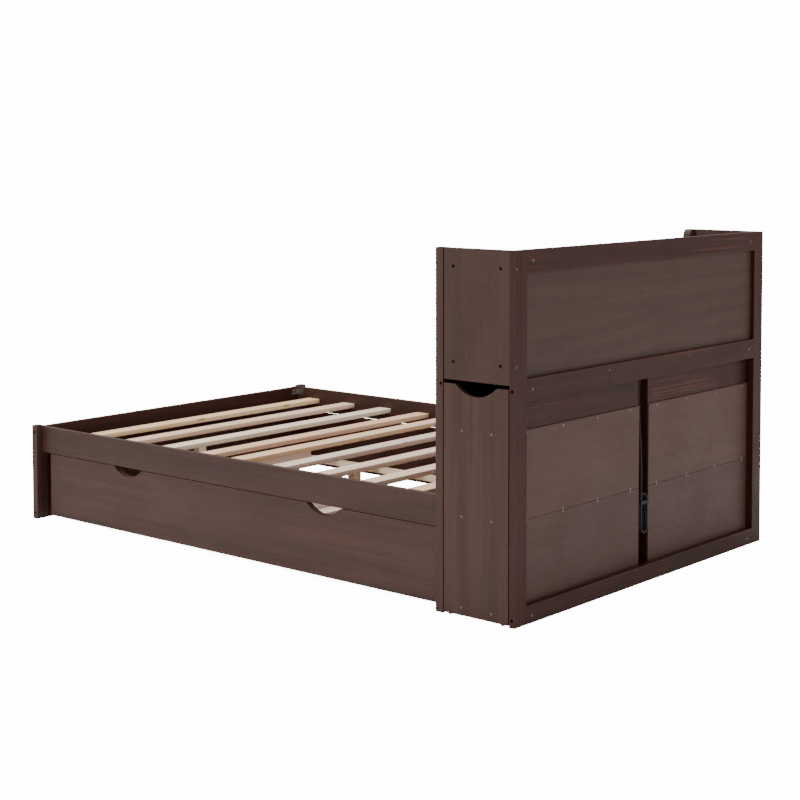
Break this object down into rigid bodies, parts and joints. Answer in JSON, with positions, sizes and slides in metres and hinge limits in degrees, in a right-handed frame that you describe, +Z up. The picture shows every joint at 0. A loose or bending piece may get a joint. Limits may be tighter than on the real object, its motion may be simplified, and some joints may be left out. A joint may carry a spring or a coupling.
{
  "type": "trundle bed",
  "caption": "Full-size bed with slats, an open bookcase headboard, pull-out shelf carts behind it and a trundle on wheels that rolls out from under one side.",
  "frame": {"origin": "on the floor, midway between the sides and between the two ends", "axes": "+Z up, headboard at +Y, foot at -Y, the trundle rolls out towards +X"},
  "size_m": [1.48, 2.35, 1.134],
  "materials": {
    "dark_wood": "dark espresso stain over pine, satin lacquer",
    "dark_panel": "dark stained thin plywood, satin",
    "raw_pine": "planed pine, no finish",
    "black_steel": "blackened bolts",
    "zinc_steel": "zinc plated",
    "black_plastic": "matt moulded",
    "wheel_nylon": "satin nylon",
    "cord_black": "soft vinyl",
    "plug_black": "moulded vinyl"
  },
  "bodies": {
    "bed": {"front_post_left": "dark_wood", "front_post_right": "dark_wood", "rear_stile_left": "dark_wood", "rear_stile_right": "dark_wood", "rear_top_rail": "dark_wood", "rear_mid_rail": "dark_wood", "rear_bottom_rail": "dark_wood", "upper_back_panel": "dark_panel", "upper_side_left": "dark_wood", "upper_side_right": "dark_wood", "top_board": "dark_wood", "bookcase_floor": "dark_wood", "dividers": "dark_wood", "front_panel": "dark_wood", "front_bottom_rail": "dark_wood", "cart_stop": "dark_wood", "rear_screws": "zinc_steel", "charging_hub": "black_plastic", "cord_grommet": "black_plastic", "cord_lead": "cord_black", "cord_hank": "cord_black", "cord_tie": "black_plastic", "cord_plug": "plug_black", "foot_post_left": "dark_wood", "foot_post_right": "dark_wood", "foot_board": "dark_wood", "corner_brackets": "zinc_steel", "side_rail_left": "dark_wood", "side_rail_right": "dark_wood", "slat_ledge_left": "dark_wood", "slat_ledge_right": "dark_wood", "slats_head": "raw_pine", "slats_foot": "raw_pine", "slat_braces": "raw_pine", "frame_bolts": "black_steel"},
    "trundle": {"trundle_front": "dark_wood", "trundle_back": "dark_wood", "trundle_end_head": "dark_wood", "trundle_end_foot": "dark_wood", "trundle_ledges": "raw_pine", "trundle_slats": "raw_pine", "caster_forks": "zinc_steel"},
    "wheel_front_foot": {"wheel_front_foot": "wheel_nylon"},
    "wheel_front_head": {"wheel_front_head": "wheel_nylon"},
    "wheel_back_foot": {"wheel_back_foot": "wheel_nylon"},
    "wheel_back_head": {"wheel_back_head": "wheel_nylon"},
    "cart_left": {"cart_left_face": "dark_wood", "cart_left_inner": "dark_wood", "cart_left_shelves": "dark_wood", "cart_left_rail": "dark_wood", "cart_left_backs": "dark_panel", "cart_left_glides": "black_plastic", "cart_left_fixings": "zinc_steel"},
    "cart_right": {"cart_right_face": "dark_wood", "cart_right_inner": "dark_wood", "cart_right_shelves": "dark_wood", "cart_right_rail": "dark_wood", "cart_right_backs": "dark_panel", "cart_right_glides": "black_plastic", "cart_right_fixings": "zinc_steel"}
  },
  "joints": [
    {"name": "trundle_slide", "type": "slide", "parent": "bed", "child": "trundle", "axis": [1, 0, 0], "range_m": [0, 1.35]},
    {"name": "wheel_front_foot_spin", "type": "hinge", "parent": "trundle", "child": "wheel_front_foot", "pos_m": [0.603, -1.064, 0.025], "axis": [0, 1, 0], "range_deg": [0, 3100]},
    {"name": "wheel_front_head_spin", "type": "hinge", "parent": "trundle", "child": "wheel_front_head", "pos_m": [0.603, 0.813, 0.025], "axis": [0, 1, 0], "range_deg": [0, 3100]},
    {"name": "wheel_back_foot_spin", "type": "hinge", "parent": "trundle", "child": "wheel_back_foot", "pos_m": [-0.59, -1.064, 0.025], "axis": [0, 1, 0], "range_deg": [0, 3100]},
    {"name": "wheel_back_head_spin", "type": "hinge", "parent": "trundle", "child": "wheel_back_head", "pos_m": [-0.59, 0.813, 0.025], "axis": [0, 1, 0], "range_deg": [0, 3100]},
    {"name": "cart_left_slide", "type": "slide", "parent": "bed", "child": "cart_left", "axis": [1, 0, 0], "range_m": [0, 0.56]},
    {"name": "cart_right_slide", "type": "slide", "parent": "bed", "child": "cart_right", "axis": [-1, 0, 0], "range_m": [0, 0.56]}
  ],
  "couplings": [
    {"joint": "wheel_front_foot_spin", "follows": "trundle_slide", "rad_per_m": 40},
    {"joint": "wheel_front_head_spin", "follows": "trundle_slide", "rad_per_m": 40},
    {"joint": "wheel_back_foot_spin", "follows": "trundle_slide", "rad_per_m": 40},
    {"joint": "wheel_back_head_spin", "follows": "trundle_slide", "rad_per_m": 40}
  ]
}
